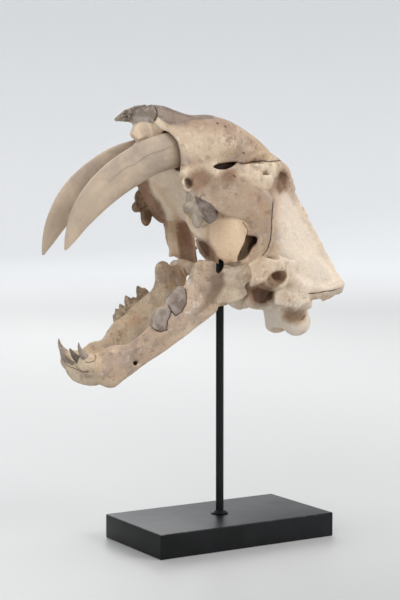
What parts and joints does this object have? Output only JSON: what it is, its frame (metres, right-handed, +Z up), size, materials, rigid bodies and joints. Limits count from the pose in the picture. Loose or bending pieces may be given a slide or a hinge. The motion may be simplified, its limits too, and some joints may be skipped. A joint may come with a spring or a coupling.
{
  "type": "sabre-toothed cat skull on a stand",
  "caption": "Sabre-toothed cat skull with its jaw open, standing on a slim rod over a flat rectangular base, for display.",
  "frame": {"origin": "centre of the underside of the base", "axes": "+Z up; the base's long side and the skull's length lie along X, and the skull faces -X; the skull's own left is -Y"},
  "size_m": [0.3428, 0.1854, 0.4375],
  "materials": {
    "bone": "matte fossil bone with plaster fills",
    "sabre": "smooth aged enamel and dentine",
    "tooth": "stained tooth",
    "stand_black": "satin black"
  },
  "bodies": {
    "root": {"cranium": "bone", "mandible": "bone", "upper_canine_left": "sabre", "upper_canine_right": "sabre", "upper_carnassial_left": "tooth", "upper_carnassial_right": "tooth", "upper_premolar_right": "tooth", "lower_canine_left": "tooth", "lower_canine_right": "tooth", "lower_carnassial_left": "tooth", "lower_carnassial_right": "tooth", "lower_premolar_left": "tooth", "lower_premolar_right": "tooth", "lower_incisor_1": "tooth", "lower_incisor_2": "tooth", "lower_incisor_3": "tooth", "lower_incisor_4": "tooth", "stand_base": "stand_black", "stand_rod": "stand_black", "rod_collar": "stand_black"}
  },
  "joints": []
}
